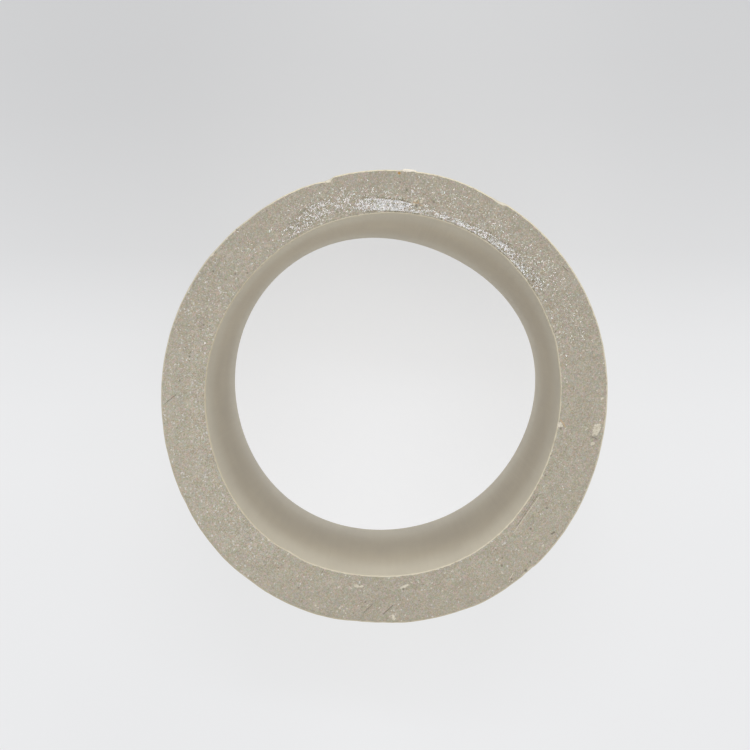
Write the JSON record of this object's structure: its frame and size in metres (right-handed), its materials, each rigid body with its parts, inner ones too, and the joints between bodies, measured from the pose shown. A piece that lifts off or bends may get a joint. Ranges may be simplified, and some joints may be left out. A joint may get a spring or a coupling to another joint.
{
  "type": "ceramic raschig ring",
  "caption": "Fired stoneware packing ring for a filled tower: a short open tube about as long as it is wide, which spreads liquid and lets gas through.",
  "frame": {"origin": "middle of the ring's foot, on the surface that it stands on", "axes": "+Z along the ring's axis, from the foot up to the cut mouth with the low lip"},
  "size_m": [0.0505, 0.0502, 0.05],
  "materials": {
    "stoneware": "matt unglazed, fine grained, grey-beige"
  },
  "bodies": {
    "root": {"ring": "stoneware"}
  },
  "joints": []
}
